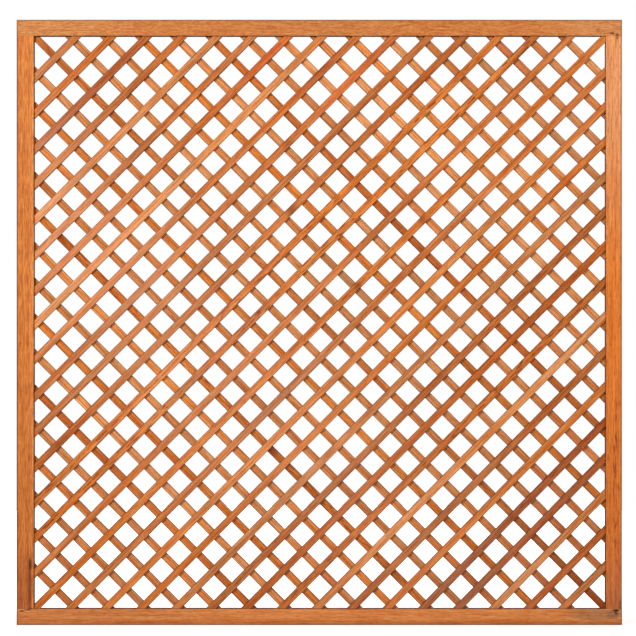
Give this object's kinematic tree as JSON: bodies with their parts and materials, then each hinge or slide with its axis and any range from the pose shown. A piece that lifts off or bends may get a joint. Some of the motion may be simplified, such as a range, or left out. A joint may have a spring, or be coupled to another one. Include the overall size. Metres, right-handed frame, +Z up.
{
  "type": "trellis panel",
  "caption": "Square hardwood trellis panel: two layers of slats crossed on the diagonal in a grooved frame, for climbing plants or as a see-through screen.",
  "frame": {"origin": "middle of the bottom edge, on the surface that the panel stands on, mid-way through its depth", "axes": "+Z up, +X to the right seen from the front, the front (slats rising to the right) faces -Y"},
  "size_m": [1.8, 0.028, 1.8],
  "materials": {
    "frame_hardwood": "planed, oiled",
    "front_slat_hardwood": "planed, oiled",
    "back_slat_hardwood": "planed, oiled",
    "galvanised_wire": "zinc",
    "zinc_plated_steel": "plated"
  },
  "bodies": {
    "root": {"top_rail": "frame_hardwood", "bottom_rail": "frame_hardwood", "left_stile": "frame_hardwood", "right_stile": "frame_hardwood", "front_slat_1": "front_slat_hardwood", "front_slat_2": "front_slat_hardwood", "front_slat_3": "front_slat_hardwood", "front_slat_4": "front_slat_hardwood", "front_slat_5": "front_slat_hardwood", "front_slat_6": "front_slat_hardwood", "front_slat_7": "front_slat_hardwood", "front_slat_8": "front_slat_hardwood", "front_slat_9": "front_slat_hardwood", "front_slat_10": "front_slat_hardwood", "front_slat_11": "front_slat_hardwood", "front_slat_12": "front_slat_hardwood", "front_slat_13": "front_slat_hardwood", "front_slat_14": "front_slat_hardwood", "front_slat_15": "front_slat_hardwood", "front_slat_16": "front_slat_hardwood", "front_slat_17": "front_slat_hardwood", "front_slat_18": "front_slat_hardwood", "front_slat_19": "front_slat_hardwood", "front_slat_20": "front_slat_hardwood", "front_slat_21": "front_slat_hardwood", "front_slat_22": "front_slat_hardwood", "front_slat_23": "front_slat_hardwood", "front_corner_slats_1": "front_slat_hardwood", "front_corner_slats_2": "front_slat_hardwood", "front_corner_slats_3": "front_slat_hardwood", "front_corner_slats_4": "front_slat_hardwood", "back_slat_1": "back_slat_hardwood", "back_slat_2": "back_slat_hardwood", "back_slat_3": "back_slat_hardwood", "back_slat_4": "back_slat_hardwood", "back_slat_5": "back_slat_hardwood", "back_slat_6": "back_slat_hardwood", "back_slat_7": "back_slat_hardwood", "back_slat_8": "back_slat_hardwood", "back_slat_9": "back_slat_hardwood", "back_slat_10": "back_slat_hardwood", "back_slat_11": "back_slat_hardwood", "back_slat_12": "back_slat_hardwood", "back_slat_13": "back_slat_hardwood", "back_slat_14": "back_slat_hardwood", "back_slat_15": "back_slat_hardwood", "back_slat_16": "back_slat_hardwood", "back_slat_17": "back_slat_hardwood", "back_slat_18": "back_slat_hardwood", "back_slat_19": "back_slat_hardwood", "back_slat_20": "back_slat_hardwood", "back_slat_21": "back_slat_hardwood", "back_slat_22": "back_slat_hardwood", "back_slat_23": "back_slat_hardwood", "back_corner_slats_1": "back_slat_hardwood", "back_corner_slats_2": "back_slat_hardwood", "back_corner_slats_3": "back_slat_hardwood", "back_corner_slats_4": "back_slat_hardwood", "staples": "galvanised_wire", "corner_screws": "zinc_plated_steel"}
  },
  "joints": []
}
